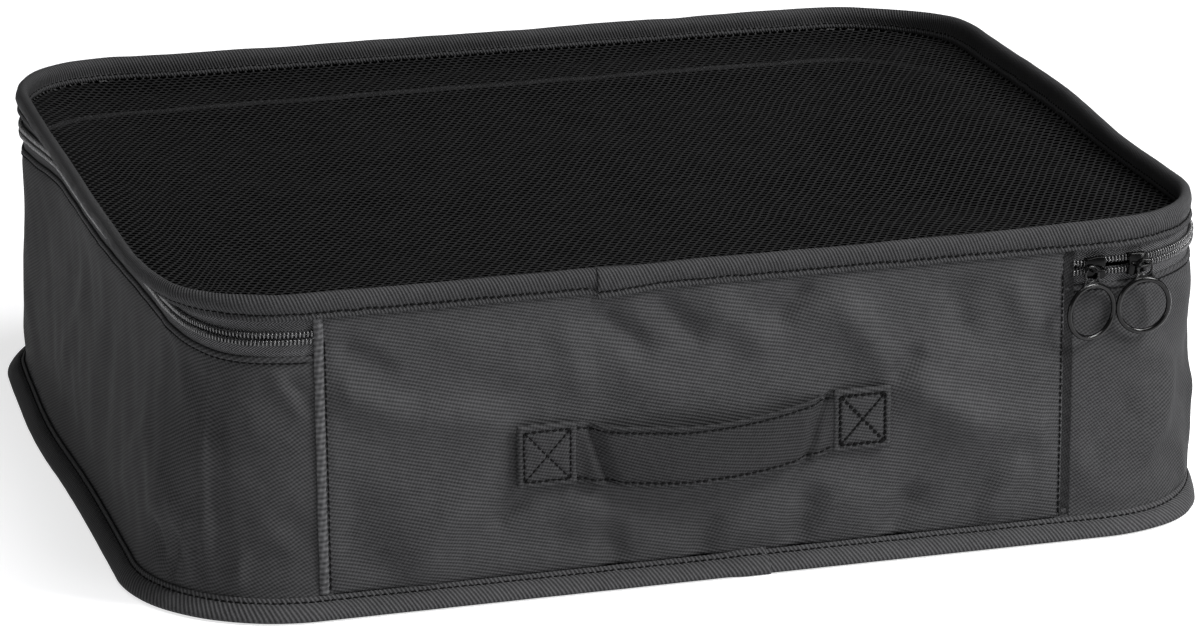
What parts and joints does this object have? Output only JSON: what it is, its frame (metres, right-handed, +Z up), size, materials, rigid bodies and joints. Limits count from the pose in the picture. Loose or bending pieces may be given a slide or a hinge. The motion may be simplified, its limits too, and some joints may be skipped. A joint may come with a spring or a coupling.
{
  "type": "packing cube",
  "caption": "Rectangular fabric packing cube with rounded corners, a see-through mesh lid on a zip with ring pulls, and a sewn strap handle on its front.",
  "frame": {"origin": "middle of the base's underside, on the surface the cube stands on", "axes": "+X to the right along the handle side, +Y from the handle side to the back, +Z up"},
  "size_m": [0.4424, 0.3767, 0.124],
  "materials": {
    "twill_fabric": "dark grey ribbed polyester with a faint sheen",
    "binding_tape": "dark grey folded grosgrain tape",
    "lid_mesh": "near-black warp-knit mesh with six-sided holes; a closed sheet here",
    "zip_tape": "near-black herringbone woven tape",
    "zip_coil": "black nylon coil, slightly shiny",
    "thread": "black sewing thread",
    "black_metal": "glossy black plated zinc"
  },
  "bodies": {
    "case": {"base_panel": "twill_fabric", "bottom_binding": "binding_tape", "thread_bottom_binding": "thread", "gusset_wall": "twill_fabric", "front_panel": "twill_fabric", "zip_tape_lower": "zip_tape", "zip_coil_lower": "zip_coil", "thread_zip_lower": "thread", "handle_patch_left": "twill_fabric", "box_stitch_left": "thread", "handle_patch_right": "twill_fabric", "box_stitch_right": "thread", "thread_seam_left": "thread", "thread_seam_right": "thread"},
    "lid": {"top_binding": "binding_tape", "thread_top_binding": "thread", "mesh_panel": "lid_mesh", "front_panel_hinge_strip": "twill_fabric", "zip_tape_upper": "zip_tape", "zip_coil_upper": "zip_coil"},
    "strap": {"handle_strap": "twill_fabric", "thread_strap_upper": "thread", "thread_strap_lower": "thread"},
    "slider_a": {"slider_a": "black_metal"},
    "pull_a": {"pull_ring_a": "black_metal"},
    "slider_b": {"slider_b": "black_metal"},
    "pull_b": {"pull_ring_b": "black_metal"}
  },
  "joints": [
    {"name": "lid_fold", "type": "hinge", "parent": "case", "child": "lid", "pos_m": [0, -0.17745, 0.1076], "axis": [1, 0, 0], "range_deg": [0, 95], "deforming": ["zip_tape_upper", "zip_coil_upper"]},
    {"name": "strap_lift", "type": "hinge", "parent": "case", "child": "strap", "pos_m": [-0.006, -0.1793, 0.0683], "axis": [-1, 0, 0], "range_deg": [0, 75]},
    {"name": "slider_a_run", "type": "slide", "parent": "case", "child": "slider_a", "axis": [1, 0, 0], "range_m": [-0.0035, 0]},
    {"name": "pull_a_lift", "type": "hinge", "parent": "slider_a", "child": "pull_a", "pos_m": [0.1492, -0.181, 0.1089], "axis": [-0.9703, -0.2419, 0], "range_deg": [0, 40]},
    {"name": "slider_b_run", "type": "hinge", "parent": "case", "child": "slider_b", "pos_m": [0.156, -0.1225, 0.1076], "axis": [0, 0, 1], "range_deg": [0, 70]},
    {"name": "pull_b_lift", "type": "hinge", "parent": "slider_b", "child": "pull_b", "pos_m": [0.17199, -0.17882, 0.1089], "axis": [-1, 0.0052, 0], "range_deg": [0, 40]}
  ]
}
